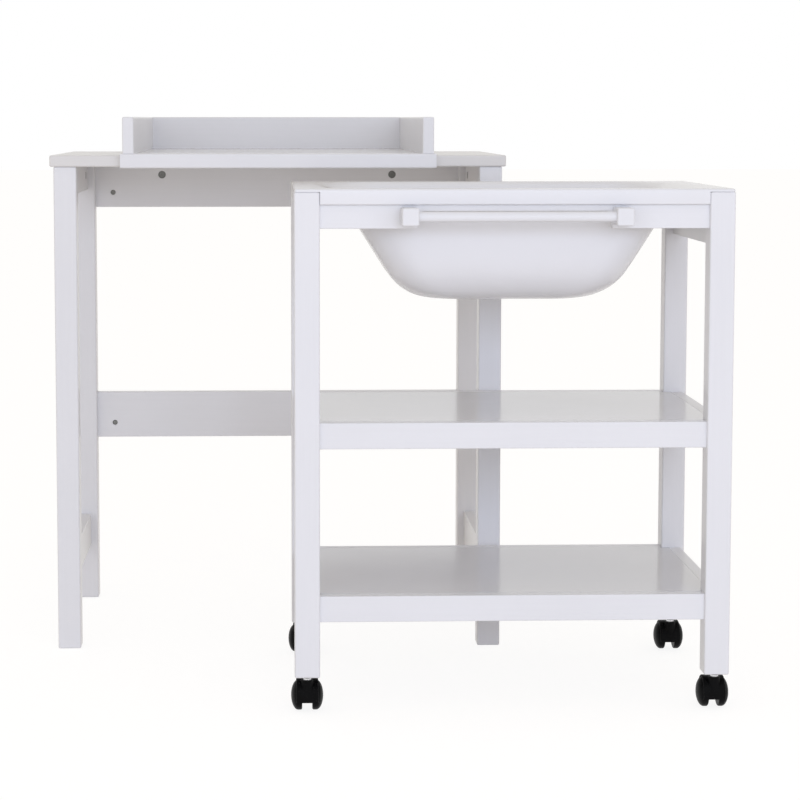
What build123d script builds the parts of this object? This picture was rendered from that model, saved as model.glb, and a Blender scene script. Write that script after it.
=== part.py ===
from build123d import *
import os
from math import cos, radians, sin, sqrt, tan

# A changing table with a loose tray, and a bath trolley on four twin-wheel castors that parks under it.
# Lengths are in millimetres. While the pieces are built, x runs from the tabletop's left end, y from its
# front edge towards the back, and z from the floor. The last step moves all of them to the centre of the
# whole footprint.

# Table
table_width = 840.0
table_depth = 510.0
table_height = 920.0
top_thickness = 21.0
top_edge_radius = 3.0
leg_side = 42.0
leg_edge_radius = 3.0
leg_end_chamfer = 1.5
leg_end_inset = 6.6
leg_front_inset = 5.5
rail_thickness = 21.0
rail_recess = 7.0
rail_edge_radius = 1.5
rear_apron_height = 92.0
side_apron_height = 56.0
rear_stretcher_bottom = 333.0
rear_stretcher_height = 93.0
low_stretcher_bottom = 112.0
low_stretcher_height = 64.0

# Fasteners of both frames
cam_diameter = 15.0
cam_length = 12.5
cam_drop = 26.0
cam_end_distance = 184.6
side_cam_end_distance = 98.0
stud_diameter = 6.0
stud_reach = 14.0
nut_diameter = 10.0
nut_length = 14.0
nut_end_distance = 36.0
nut_height_in_rail = 30.0
bolt_diameter = 6.0
bolt_head_diameter = 13.0
bolt_head_thickness = 2.5
bore_gap = 0.25

# Tray
tray_width = 570.7
tray_wall_thickness = 21.0
tray_wall_height = 70.0
tray_floor_thickness = 3.0
tray_inside_depth = 700.0
tray_wall_seat = 1.0
tray_edge_radius = 3.0
lip_overlength = 4.4
lip_depth = 19.0
lip_height = 26.5
lip_gap = 1.0
lip_rebate = 8.0
screw_diameter = 4.0
screw_head_diameter = 8.0
screw_head_depth = 2.2
screw_length = 40.0
screw_end_distance = 18.0
floor_screw_length = 20.0
floor_screw_pitch = 210.0

# Trolley
trolley_left = 442.2
trolley_front = -487.0
trolley_width = 725.0
trolley_depth = 462.0
post_bottom = 62.0
rim_height = 873.0
top_rail_height = 90.0
front_rail_height = 60.0
front_rail_strip = 31.0
cutout_radius = 12.0
shelf_rail_height = 43.5
shelf_side_rail_height = 60.0
middle_shelf_top = 487.5
lower_shelf_top = 198.0
shelf_panel_thickness = 16.0
tongue_thickness = 6.0
tongue_depth = 6.0
shelf_nut_height = 14.0

# Towel bar
bar_diameter = 17.0
bar_reach = 29.0
bar_height = 828.5
bar_seat_depth = 12.0
block_width = 28.0
block_height = 29.0
block_spacing = 349.0
block_nose = 16.0
block_edge_radius = 3.0

# Bath
bath_wall = 4.0
flange_thickness = 5.0
flange_edge_radius = 4.0
flange_corner_radius = 6.0
skirt_drop = 26.0
skirt_thickness = 4.5
skirt_end_radius = 1.5
bowl_clearance = 1.5
bowl_bottom = 680.0
bowl_end_slope = 32.0
bowl_side_slope = 13.0
bowl_end_flare = 80.0
bowl_side_flare = 17.0
bowl_floor_radius = 100.0
bowl_rim_corner = 95.0
bowl_floor_corner = 55.0

# Castors
wheel_diameter = 50.0
wheel_width = 18.5
wheel_gap = 17.0
wheel_dome = 12.0
wheel_inner_radius = 2.5
axle_diameter = 8.0
axle_inset = 3.5
castor_trail = 17.0
hood_clearance = 0.6
hood_fender_width = 37.0
hood_fender_thickness = 2.4
hood_edge_radius = 2.0
hood_lower_edge = 17.0
hood_boss_diameter = 20.0
hood_boss_top = 55.0
stem_diameter = 11.0
stem_reach = 34.0
stem_seat_depth = 14.0
stem_ring_diameter = 14.0
socket_diameter = 15.0
socket_collar_diameter = 17.0
socket_collar_thickness = 3.5

# Clearances
loose_gap = 0.3
running_gap = 0.05
notch_gap = 0.5
overrun = 1.0

# Places that follow from the sizes
top_underside = table_height - top_thickness
leg_inner_face = leg_end_inset + leg_side
rear_leg_front_face = table_depth - leg_front_inset - leg_side
table_right_inner_face = table_width - leg_inner_face
tray_base = table_height + loose_gap
tray_floor_top = tray_base + tray_floor_thickness
tray_left = (table_width - tray_width) / 2
tray_right = tray_left + tray_width
lip_front = -lip_gap - lip_depth
tray_back = tray_inside_depth + tray_wall_thickness
trolley_right = trolley_left + trolley_width
trolley_back = trolley_front + trolley_depth
trolley_middle_x = (trolley_left + trolley_right) / 2
trolley_middle_y = (trolley_front + trolley_back) / 2
flange_underside = rim_height - flange_thickness
frame_top = flange_underside - loose_gap
rail_inner_offset = rail_recess + rail_thickness
bowl_half_width = trolley_width / 2 - rail_inner_offset - bowl_clearance
bowl_half_depth = trolley_depth / 2 - rail_inner_offset - bowl_clearance
bar_axis_y = trolley_front - bar_reach
block_front = bar_axis_y - block_nose
wheel_radius = wheel_diameter / 2
axle_radius = axle_diameter / 2
stem_radius = stem_diameter / 2

nodes = {}


def block(x, y, z):
    """Plain block between the low and high value of each axis."""
    spans = (x, y, z)
    size = [high - low for low, high in spans]
    middle = [(high + low) / 2 for low, high in spans]
    return Pos(*middle) * Box(*size)


def rod(axis, centre, radius, low, high):
    """Round bar along one axis, from low to high on that axis; centre holds the other two places."""
    length = high - low
    middle = (low + high) / 2
    if axis == "x":
        return Pos(middle, centre[0], centre[1]) * Rot(0, 90, 0) * Cylinder(radius, length)
    if axis == "y":
        return Pos(centre[0], middle, centre[1]) * Rot(90, 0, 0) * Cylinder(radius, length)
    return Pos(centre[0], centre[1], middle) * Cylinder(radius, length)


def square_post(x, y, z):
    """Square post with rounded long edges and a small chamfer round both ends."""
    post = block(x, y, z)
    post = fillet(post.edges().filter_by(Axis.Z), leg_edge_radius)
    ends = post.faces().sort_by(Axis.Z)
    return chamfer(ends[0].edges() + ends[-1].edges(), leg_end_chamfer)


def rail_along_x(x, y, z):
    """Flat rail between two posts with its long edges eased."""
    rail = block(x, y, z)
    return fillet(rail.edges().filter_by(Axis.X), rail_edge_radius)


def rail_along_y(x, y, z):
    """The same rail between a front and a rear post."""
    rail = block(x, y, z)
    return fillet(rail.edges().filter_by(Axis.Y), rail_edge_radius)


def connector(post_outer_face, inward, y, z, nut_distance, nut_face, nut_inward):
    """One bolt and barrel nut that pull a rail's end against a post, with the bores that they need.

    inward is 1 when the bolt runs towards +x. nut_face is the rail face that the nut is let into,
    and nut_inward is 1 when the nut goes in towards +y.
    """
    def along(start, end):
        return (min(start, end), max(start, end))

    head_end = post_outer_face + inward * bolt_head_thickness
    nut_x = post_outer_face + inward * (leg_side + nut_distance)
    shank_end = nut_x + inward * nut_diameter / 2
    nut_end = nut_face + nut_inward * nut_length
    head = rod("x", (y, z), bolt_head_diameter / 2, *along(post_outer_face, head_end))
    shank = rod("x", (y, z), bolt_diameter / 2, *along(head_end, shank_end))
    bolt = head + shank
    bolt_bore = rod("x", (y, z), bolt_diameter / 2 + bore_gap, *along(head_end, shank_end + inward * bore_gap))
    head_bore = rod(
        "x", (y, z), bolt_head_diameter / 2 + bore_gap, *along(post_outer_face - inward * overrun, head_end)
    )
    nut = rod("y", (nut_x, z), nut_diameter / 2, *along(nut_face, nut_end)) - bolt_bore
    nut_bore = rod(
        "y", (nut_x, z), nut_diameter / 2 + bore_gap, *along(nut_face - nut_inward * overrun, nut_end)
    )
    return bolt, nut, bolt_bore + head_bore, bolt_bore + nut_bore


def build_table():
    """Tabletop on four legs, with aprons under it and stretchers below."""
    top = block((0, table_width), (0, table_depth), (top_underside, table_height))
    top = fillet(top.edges(), top_edge_radius)

    leg_x = {
        "left": (leg_end_inset, leg_inner_face),
        "right": (table_right_inner_face, table_width - leg_end_inset),
    }
    leg_y = {
        "front": (leg_front_inset, leg_front_inset + leg_side),
        "rear": (rear_leg_front_face, table_depth - leg_front_inset),
    }
    legs = {}
    for end, y in leg_y.items():
        for side, x in leg_x.items():
            legs[end, side] = square_post(x, y, (0, top_underside))

    rear_rail_back = table_depth - leg_front_inset - rail_recess
    rear_rail_y = (rear_rail_back - rail_thickness, rear_rail_back)
    between_legs = (leg_inner_face, table_right_inner_face)
    apron_bottom = top_underside - rear_apron_height
    rear_apron = rail_along_x(between_legs, rear_rail_y, (apron_bottom, top_underside))
    stretcher_top = rear_stretcher_bottom + rear_stretcher_height
    rear_stretcher = rail_along_x(between_legs, rear_rail_y, (rear_stretcher_bottom, stretcher_top))

    side_rail_y = (leg_y["front"][1], leg_y["rear"][0])
    side_rail_x = {
        "left": (leg_end_inset + rail_recess, leg_end_inset + rail_inner_offset),
        "right": (table_width - leg_end_inset - rail_inner_offset, table_width - leg_end_inset - rail_recess),
    }
    side_aprons = {}
    for side, x in side_rail_x.items():
        side_aprons[side] = rail_along_y(x, side_rail_y, (top_underside - side_apron_height, top_underside))
        low_z = (low_stretcher_bottom, low_stretcher_bottom + low_stretcher_height)
        nodes["table_stretcher_" + side] = rail_along_y(x, side_rail_y, low_z)

    bolts = []
    nuts = []
    for rail_bottom, name in ((apron_bottom, "apron"), (rear_stretcher_bottom, "stretcher")):
        for side, inward in (("left", 1), ("right", -1)):
            outer_face = leg_x[side][0] if inward > 0 else leg_x[side][1]
            bolt, nut, leg_bore, rail_bore = connector(
                outer_face,
                inward,
                (rear_rail_y[0] + rear_rail_y[1]) / 2,
                rail_bottom + nut_height_in_rail,
                nut_end_distance,
                rear_rail_y[0],
                1,
            )
            bolts.append(bolt)
            nuts.append(nut)
            legs["rear", side] -= leg_bore
            if name == "apron":
                rear_apron -= rail_bore
            else:
                rear_stretcher -= rail_bore

    cams = []
    cam_z = top_underside - cam_drop
    cam_radius = cam_diameter / 2
    stud_radius = stud_diameter / 2
    stud_z = (cam_z + cam_radius, top_underside + stud_reach)
    for x in (cam_end_distance, table_width - cam_end_distance):
        face = rear_rail_y[0]
        stud_y = face + cam_length / 2
        cams.append(rod("y", (x, cam_z), cam_radius, face, face + cam_length))
        cams.append(rod("z", (x, stud_y), stud_radius, *stud_z))
        stud_bore = rod("z", (x, stud_y), stud_radius + bore_gap, cam_z, stud_z[1])
        rear_apron -= rod("y", (x, cam_z), cam_radius + bore_gap, face - overrun, face + cam_length) + stud_bore
        top -= stud_bore
    for side, inward in (("left", -1), ("right", 1)):
        face = side_rail_x[side][1] if side == "left" else side_rail_x[side][0]
        cam_end = face + inward * cam_length
        stud_x = face + inward * cam_length / 2
        cam_span = (min(face, cam_end), max(face, cam_end))
        mouth = face - inward * overrun
        bore_span = (min(mouth, cam_end), max(mouth, cam_end))
        for y in (side_cam_end_distance, table_depth - side_cam_end_distance):
            cams.append(rod("x", (y, cam_z), cam_radius, *cam_span))
            cams.append(rod("z", (stud_x, y), stud_radius, *stud_z))
            stud_bore = rod("z", (stud_x, y), stud_radius + bore_gap, cam_z, stud_z[1])
            side_aprons[side] -= rod("x", (y, cam_z), cam_radius + bore_gap, *bore_span) + stud_bore
            top -= stud_bore

    nodes["table_top"] = top
    for (end, side), leg in legs.items():
        nodes["table_leg_" + end + "_" + side] = leg
    nodes["table_apron_rear"] = rear_apron
    nodes["table_stretcher_rear"] = rear_stretcher
    nodes["table_apron_left"] = side_aprons["left"]
    nodes["table_apron_right"] = side_aprons["right"]
    nodes["table_cam_locks"] = cams
    nodes["table_barrel_nuts"] = nuts
    nodes["table_frame_bolts"] = bolts


def screw(length):
    """Countersunk screw with its head's flat face at z = 0 and its shank along -z."""
    cone = Cone(screw_diameter / 2, screw_head_diameter / 2, screw_head_depth)
    head = Pos(0, 0, -screw_head_depth / 2) * cone
    shank = rod("z", (0, 0), screw_diameter / 2, -length, -screw_head_depth)
    return head + shank


def build_tray():
    """Loose tray: a thin floor with three walls let into it, and a lip bar over the tabletop's front edge."""
    wall_top = tray_floor_top + tray_wall_height - tray_floor_thickness
    wall_base = tray_floor_top - tray_wall_seat
    wall_z = (wall_base, wall_top)
    wall_y = (lip_front + lip_gap, tray_back)
    inner_left = tray_left + tray_wall_thickness
    inner_right = tray_right - tray_wall_thickness
    floor_front = lip_front + lip_depth - lip_rebate
    floor = block((tray_left, tray_right), (floor_front, tray_back), (tray_base, wall_base))
    floor += block(
        (inner_left + bore_gap, inner_right - bore_gap),
        (floor_front, tray_inside_depth - bore_gap),
        (tray_base, tray_floor_top),
    )

    lip_x = (tray_left - lip_overlength, tray_right + lip_overlength)
    lip_bottom = tray_floor_top - lip_height
    lip = block(lip_x, (lip_front, lip_front + lip_depth), (lip_bottom, tray_floor_top))
    lip_front_edges = lip.edges().filter_by(Axis.X).group_by(Axis.Y)[0]
    lip = fillet(lip_front_edges, tray_edge_radius)
    lip -= block(
        (tray_left - bore_gap, tray_right + bore_gap),
        (floor_front, lip_front + lip_depth + overrun),
        (tray_base, tray_floor_top + overrun),
    )

    walls = {}
    for side, x in (("left", (tray_left, inner_left)), ("right", (inner_right, tray_right))):
        wall = block(x, wall_y, wall_z)
        top_edges = wall.edges().group_by(Axis.Z)[-1]
        front_edges = wall.edges().filter_by(Axis.Z).group_by(Axis.Y)[0]
        over_lip = block(x, (wall_y[0] - overrun, floor_front), (wall_base - overrun, tray_floor_top))
        walls[side] = fillet(top_edges + front_edges, tray_edge_radius) - over_lip
    back = block((inner_left, inner_right), (tray_inside_depth, tray_back), wall_z)
    walls["back"] = fillet(back.edges().filter_by(Axis.X).group_by(Axis.Z)[-1], tray_edge_radius)

    screws = []
    back_middle = (tray_inside_depth + tray_back) / 2
    for side, x, turn in (("left", tray_left, -90), ("right", tray_right, 90)):
        for z in (tray_floor_top + screw_end_distance, wall_top - screw_end_distance):
            placed = Pos(x, back_middle, z) * Rot(0, turn, 0) * screw(screw_length)
            screws.append(placed)
            walls[side] -= placed
            walls["back"] -= placed
    middle_y = table_depth / 2
    for side, x in (("left", tray_left), ("right", inner_right)):
        for step in (-1, 0, 1):
            y = middle_y + step * floor_screw_pitch
            place = Pos(x + tray_wall_thickness / 2, y, tray_base) * Rot(180, 0, 0)
            placed = place * screw(floor_screw_length)
            screws.append(placed)
            walls[side] -= placed
            floor -= placed

    nodes["tray_floor"] = floor
    nodes["tray_front_lip"] = lip
    for side, wall in walls.items():
        nodes["tray_wall_" + side] = wall
    nodes["tray_screws"] = screws


def post_spans():
    """Plan spans of the trolley's four posts, by end and side."""
    x = {
        "left": (trolley_left, trolley_left + leg_side),
        "right": (trolley_right - leg_side, trolley_right),
    }
    y = {
        "front": (trolley_front, trolley_front + leg_side),
        "rear": (trolley_back - leg_side, trolley_back),
    }
    return x, y


def trolley_rail_spans():
    """Spans across the thickness of the rails on each face of the trolley."""
    y = {
        "front": (trolley_front + rail_recess, trolley_front + rail_inner_offset),
        "rear": (trolley_back - rail_inner_offset, trolley_back - rail_recess),
    }
    x = {
        "left": (trolley_left + rail_recess, trolley_left + rail_inner_offset),
        "right": (trolley_right - rail_inner_offset, trolley_right - rail_recess),
    }
    return x, y


def shelf_tongue(panel_z, grow):
    """The thin tongue round a shelf panel; grow widens it into the groove that takes it."""
    rail_x, rail_y = trolley_rail_spans()
    middle = (panel_z[0] + panel_z[1]) / 2
    reach = tongue_depth + grow
    half = tongue_thickness / 2 + grow
    return block(
        (rail_x["left"][1] - reach, rail_x["right"][0] + reach),
        (rail_y["front"][1] - reach, rail_y["rear"][0] + reach),
        (middle - half, middle + half),
    )


def build_trolley():
    """Four posts joined by top rails and two framed shelves."""
    post_x, post_y = post_spans()
    rail_x, rail_y = trolley_rail_spans()
    between_x = (post_x["left"][1], post_x["right"][0])
    between_y = (post_y["front"][1], post_y["rear"][0])
    posts = {}
    for end, y in post_y.items():
        for side, x in post_x.items():
            posts[end, side] = square_post(x, y, (post_bottom, frame_top))

    cross_rails = {}
    top_z = (frame_top - top_rail_height, frame_top)
    front_z = (frame_top - front_rail_height, frame_top)
    front_rail = rail_along_x(between_x, rail_y["front"], front_z)
    half_gap = (block_spacing - block_width) / 2
    cutout = block(
        (trolley_middle_x - half_gap, trolley_middle_x + half_gap),
        (rail_y["front"][0] - overrun, rail_y["front"][1] + overrun),
        (front_z[0] - cutout_radius - overrun, frame_top - front_rail_strip),
    )
    cutout = fillet(cutout.edges().filter_by(Axis.Y), cutout_radius)
    cross_rails["front", "top"] = front_rail - cutout
    cross_rails["rear", "top"] = rail_along_x(between_x, rail_y["rear"], top_z)
    for side, x in rail_x.items():
        nodes["trolley_rail_" + side] = rail_along_y(x, between_y, top_z)

    corner_notches = []
    for x in post_x.values():
        for y in post_y.values():
            corner_notches.append(
                block(
                    (x[0] - notch_gap, x[1] + notch_gap),
                    (y[0] - notch_gap, y[1] + notch_gap),
                    (post_bottom, frame_top),
                )
            )
    shelf_tops = {"middle": middle_shelf_top, "lower": lower_shelf_top}
    for shelf, top in shelf_tops.items():
        panel_z = (top - shelf_panel_thickness, top)
        panel = block(
            (rail_x["left"][1], rail_x["right"][0]), (rail_y["front"][1], rail_y["rear"][0]), panel_z
        )
        panel += shelf_tongue(panel_z, 0)
        for notch in corner_notches:
            panel -= notch
        groove = shelf_tongue(panel_z, bore_gap)
        nodes[shelf + "_shelf_panel"] = panel
        for end, y in rail_y.items():
            rail = rail_along_x(between_x, y, (top - shelf_rail_height, top))
            cross_rails[end, shelf] = rail - groove
        for side, x in rail_x.items():
            rail = rail_along_y(x, between_y, (top - shelf_side_rail_height, top))
            nodes[shelf + "_shelf_rail_" + side] = rail - groove

    bolts = []
    nuts = []
    nut_heights = {
        "top": frame_top - front_rail_height + nut_height_in_rail,
        "middle": middle_shelf_top - shelf_rail_height + shelf_nut_height,
        "lower": lower_shelf_top - shelf_rail_height + shelf_nut_height,
    }
    for end, level in cross_rails:
        y = rail_y[end]
        nut_face, nut_inward = (y[1], -1) if end == "front" else (y[0], 1)
        for side, inward in (("left", 1), ("right", -1)):
            outer_face = trolley_left if side == "left" else trolley_right
            bolt, nut, post_bore, rail_bore = connector(
                outer_face,
                inward,
                (y[0] + y[1]) / 2,
                nut_heights[level],
                nut_end_distance,
                nut_face,
                nut_inward,
            )
            bolts.append(bolt)
            nuts.append(nut)
            posts[end, side] -= post_bore
            cross_rails[end, level] -= rail_bore

    sockets = []
    for (end, side), post in posts.items():
        x = (post_x[side][0] + post_x[side][1]) / 2
        y = (post_y[end][0] + post_y[end][1]) / 2
        socket_top = post_bottom + stem_reach + loose_gap
        collar_bottom = post_bottom - socket_collar_thickness
        sleeve = rod("z", (x, y), socket_diameter / 2, post_bottom, socket_top)
        collar = rod("z", (x, y), socket_collar_diameter / 2, collar_bottom, post_bottom)
        bore = rod("z", (x, y), stem_radius + running_gap, collar_bottom - overrun, socket_top)
        sockets.append(sleeve + collar - bore)
        posts[end, side] = post - rod("z", (x, y), socket_diameter / 2, post_bottom - overrun, socket_top)

    for (end, side), post in posts.items():
        nodes["trolley_post_" + end + "_" + side] = post
    for (end, level), rail in cross_rails.items():
        name = "trolley_rail_" + end if level == "top" else level + "_shelf_rail_" + end
        nodes[name] = rail
    nodes["trolley_barrel_nuts"] = nuts
    nodes["trolley_frame_bolts"] = bolts
    nodes["castor_sockets"] = sockets


def build_towel_bar():
    """Round bar let into two square blocks on the front rail."""
    back_face = trolley_front + rail_recess
    block_z = (bar_height - block_height / 2, bar_height + block_height / 2)
    inner_x = (block_spacing - block_width) / 2
    bar_x = (trolley_middle_x - inner_x - bar_seat_depth, trolley_middle_x + inner_x + bar_seat_depth)
    bar = rod("x", (bar_axis_y, bar_height), bar_diameter / 2, *bar_x)
    blocks = []
    for side in (-1, 1):
        middle = trolley_middle_x + side * block_spacing / 2
        body = block((middle - block_width / 2, middle + block_width / 2), (block_front, back_face), block_z)
        rounded = body.edges().filter_by(Axis.Y) + body.edges().group_by(Axis.Y)[0]
        blocks.append(fillet(rounded, block_edge_radius) - bar)
    nodes["towel_bar"] = bar
    nodes["towel_bar_blocks"] = blocks


def bowl_reach(z, inset, rim_reach, flare, lean):
    """How far the bowl's wall stands from its middle at the height z.

    The wall is straight and leans out by the angle lean. At the foot it turns into the floor on an arc, and
    at the top it flares out on another arc until it is level at rim_reach. inset is zero for the outer skin.
    """
    flare_radius = flare - bath_wall + inset
    flare_middle_z = rim_height - flare
    flare_start = flare_middle_z + flare_radius * sin(lean)
    if z > flare_start:
        rise = min(z - flare_middle_z, flare_radius)
        return rim_reach - sqrt(flare_radius**2 - rise**2)

    def straight_reach(height):
        return rim_reach - flare_radius * cos(lean) - (flare_start - height) * tan(lean)

    floor_z = bowl_bottom + inset
    floor_radius = bowl_floor_radius - inset
    if z > floor_z + floor_radius * (1 - sin(lean)):
        return straight_reach(z)
    arc_middle = straight_reach(floor_z) - floor_radius * (1 - sin(lean)) / cos(lean)
    return arc_middle + sqrt(floor_radius**2 - (floor_radius - z + floor_z) ** 2)


def bowl_solid(inset):
    """The bowl as a filled solid up to where its flare is level, drawn in all round by inset."""
    floor_z = bowl_bottom + inset
    top = rim_height - bath_wall + inset
    depth = top - floor_z

    def section(z):
        half_x = bowl_reach(z, inset, bowl_half_width, bowl_end_flare, radians(bowl_end_slope))
        half_y = bowl_reach(z, inset, bowl_half_depth, bowl_side_flare, radians(bowl_side_slope))
        corner = bowl_floor_corner + (bowl_rim_corner - bowl_floor_corner) * (z - floor_z) / depth - inset
        outline = RectangleRounded(2 * half_x, 2 * half_y, corner)
        return Pos(trolley_middle_x, trolley_middle_y, z) * outline

    arc_end = floor_z + (bowl_floor_radius - inset) * (1 - sin(radians(bowl_side_slope)))
    arc_steps_shares = (0, 0.05, 0.2, 0.42, 0.68, 1)
    foot = loft([section(floor_z + (arc_end - floor_z) * share) for share in arc_steps_shares])
    flare_drop = (bowl_end_flare - bath_wall + inset) * (1 - sin(radians(bowl_end_slope)))
    wall = loft([section(arc_end), section(top - flare_drop)], ruled=True)
    flare_steps_shares = (1, 0.72, 0.48, 0.3, 0.17, 0.08, 0.03, 0)
    flare = loft([section(top - flare_drop * share) for share in flare_steps_shares])
    return foot + wall + flare


def build_bath():
    """Moulded tub: a flat flange on the posts, a short skirt between them and a tapering bowl."""
    flange_z = (flange_underside, rim_height)
    flange = block((trolley_left, trolley_right), (trolley_front, trolley_back), flange_z)
    flange = fillet(flange.edges().filter_by(Axis.Z), flange_corner_radius)
    flange = fillet(flange.edges().group_by(Axis.Z)[-1], flange_edge_radius)

    post_x, post_y = post_spans()
    skirt_bottom = rim_height - skirt_drop
    skirt_x = (post_x["left"][1] + notch_gap, post_x["right"][0] - notch_gap)
    skirt_y = (post_y["front"][1] + notch_gap, post_y["rear"][0] - notch_gap)
    skirt_z = (skirt_bottom, flange_underside)
    skirts = []
    for low in (trolley_front, trolley_back - skirt_thickness):
        strip = block(skirt_x, (low, low + skirt_thickness), skirt_z)
        lower_ends = strip.edges().filter_by(Axis.Y).group_by(Axis.Z)[0]
        skirts.append(fillet(lower_ends, skirt_end_radius))
    for low in (trolley_left, trolley_right - skirt_thickness):
        strip = block((low, low + skirt_thickness), skirt_y, skirt_z)
        lower_ends = strip.edges().filter_by(Axis.X).group_by(Axis.Z)[0]
        skirts.append(fillet(lower_ends, skirt_end_radius))

    tub = flange + bowl_solid(0)
    for strip in skirts:
        tub += strip
    nodes["bath_tub"] = tub - bowl_solid(bath_wall)


def castor_hood():
    """Hood over two wheels: a web between them and a fender over their inner halves; its stem is at x = y = 0."""
    web_radius = wheel_radius + hood_clearance + hood_fender_thickness
    inner_radius = wheel_radius + hood_clearance
    web_half = wheel_gap / 2 - hood_clearance
    web = rod("x", (castor_trail, wheel_radius), web_radius, -web_half, web_half)
    fender = rod("x", (castor_trail, wheel_radius), web_radius, -hood_fender_width / 2, hood_fender_width / 2)
    fender = fillet(fender.edges().filter_by(GeomType.CIRCLE), hood_edge_radius)
    hollow = rod("x", (castor_trail, wheel_radius), inner_radius, -hood_fender_width, hood_fender_width)
    fender -= hollow
    boss = rod("z", (0, 0), hood_boss_diameter / 2, wheel_radius, hood_boss_top)
    for side in (-1, 1):
        wheel_room = rod(
            "x",
            (castor_trail, wheel_radius),
            inner_radius,
            *sorted((side * web_half, side * hood_fender_width)),
        )
        boss -= wheel_room
    lower = block(
        (-hood_fender_width, hood_fender_width),
        (castor_trail - wheel_diameter, castor_trail + wheel_diameter),
        (-wheel_radius, hood_lower_edge),
    )
    rear_foot = block(
        (-hood_fender_width, hood_fender_width),
        (castor_trail, castor_trail + wheel_diameter),
        (-wheel_radius, wheel_radius + wheel_radius / 2),
    )
    hood = web + fender - lower
    hood -= rear_foot - rod("x", (castor_trail, wheel_radius), wheel_radius / 2, -web_half, web_half)
    hood += boss
    stem_seat = rod("z", (0, 0), stem_radius, hood_boss_top - stem_seat_depth, hood_boss_top + overrun)
    axle_bore = rod("x", (castor_trail, wheel_radius), axle_radius, -web_radius, web_radius)
    return hood - stem_seat - axle_bore


def castor_pins():
    """Steel stem with its shoulder ring, and the axle that carries both wheels."""
    stem = rod("z", (0, 0), stem_radius, hood_boss_top - stem_seat_depth, post_bottom + stem_reach)
    ring_top = post_bottom - socket_collar_thickness - loose_gap
    ring = rod("z", (0, 0), stem_ring_diameter / 2, hood_boss_top, ring_top)
    axle_half = wheel_gap / 2 + wheel_width - axle_inset
    axle = rod("x", (castor_trail, wheel_radius), axle_radius, -axle_half, axle_half)
    return [stem + ring, axle]


def castor_wheel(side):
    """Wheel with a domed outer face and a blind bore for the axle; side is -1 or 1."""
    inner = wheel_gap / 2
    outer = inner + wheel_width
    tread_end = outer - wheel_dome
    face = Line((inner, 0), (inner, wheel_radius))
    tread = Line((inner, wheel_radius), (tread_end, wheel_radius))
    dome = EllipticalCenterArc((tread_end, 0), wheel_dome, wheel_radius, start_angle=0, arc_size=90)
    middle = Line((outer, 0), (inner, 0))
    wheel = revolve(make_face(face + tread + dome + middle), Axis.X)
    inner_edge = wheel.edges().filter_by(GeomType.CIRCLE).sort_by(Axis.X)[0]
    wheel = fillet(inner_edge, wheel_inner_radius)
    wheel -= rod("x", (0, 0), axle_radius + running_gap, inner - overrun, outer - axle_inset + loose_gap)
    turn = 0 if side > 0 else 180
    return Pos(0, castor_trail, wheel_radius) * Rot(0, 0, turn) * wheel


def build_castors():
    """Four alike castors under the posts, all pointing to the back at rest."""
    post_x, post_y = post_spans()
    hood = castor_hood()
    stem, axle = castor_pins()
    wheels = {"left": castor_wheel(-1), "right": castor_wheel(1)}
    for end, y in post_y.items():
        for side, x in post_x.items():
            place = Pos((x[0] + x[1]) / 2, (y[0] + y[1]) / 2, 0)
            tag = end + "_" + side
            nodes["castor_hood_" + tag] = place * hood
            nodes["castor_pins_" + tag] = [place * stem, place * axle]
            for wheel_side, wheel in wheels.items():
                nodes["castor_wheel_" + tag + "_" + wheel_side] = place * wheel


def write_nodes():
    """Move every piece so that the origin is the middle of the whole footprint, and write one file each."""
    castor_right = trolley_right - leg_side / 2 + wheel_gap / 2 + wheel_width
    whole_right = max(trolley_right, castor_right)
    centre = Vector(whole_right / 2, (block_front + tray_back) / 2, 0)
    os.makedirs("parts", exist_ok=True)
    for name, piece in nodes.items():
        solids = piece if isinstance(piece, list) else piece.solids()
        moved = [Pos(-centre.X, -centre.Y, 0) * solid for solid in solids]
        shape = moved[0] if len(moved) == 1 else Compound(children=moved)
        export_step(shape, os.path.join("parts", name + ".step"))


build_table()
build_tray()
build_trolley()
build_towel_bar()
build_bath()
build_castors()
write_nodes()
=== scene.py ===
import math
import random

import bmesh
import bpy
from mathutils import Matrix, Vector


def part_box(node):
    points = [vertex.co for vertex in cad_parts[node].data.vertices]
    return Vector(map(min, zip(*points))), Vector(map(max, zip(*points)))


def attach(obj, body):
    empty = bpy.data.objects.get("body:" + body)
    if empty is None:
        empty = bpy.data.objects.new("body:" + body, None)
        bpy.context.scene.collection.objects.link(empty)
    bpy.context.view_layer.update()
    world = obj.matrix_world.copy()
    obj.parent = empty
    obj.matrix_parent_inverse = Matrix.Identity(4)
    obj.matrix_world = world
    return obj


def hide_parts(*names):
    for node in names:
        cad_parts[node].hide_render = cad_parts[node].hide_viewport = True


bl_info = {
    "name": "Changing table with bath trolley",
    "version": (1, 0, 0),
    "blender": (4, 5, 0),
    "location": "3D View > Sidebar > Nursery",
    "description": "Dresses a changing table, tray and bath trolley in lacquer, plastic and steel",
    "category": "Object",
}

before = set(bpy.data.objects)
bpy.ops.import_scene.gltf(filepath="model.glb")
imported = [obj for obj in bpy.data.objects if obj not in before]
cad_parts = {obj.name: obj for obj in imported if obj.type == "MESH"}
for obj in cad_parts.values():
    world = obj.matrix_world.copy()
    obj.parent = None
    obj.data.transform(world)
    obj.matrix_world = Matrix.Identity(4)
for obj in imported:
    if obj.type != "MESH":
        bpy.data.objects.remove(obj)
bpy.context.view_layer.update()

# Points closer together than this are welded, and edges sharper than these angles, in degrees,
# stay sharp.
weld_distance = 0.00001
cut_edge_angle = 30
moulded_edge_angle = 35

quarter_turn = math.radians(90)
x_axis, y_axis = 0, 1


def box_size(node):
    """Width, depth and height of a node of the frame."""
    low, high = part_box(node)
    return high - low


def box_middle(node):
    """Middle of a node of the frame."""
    low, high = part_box(node)
    return (low + high) / 2


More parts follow.
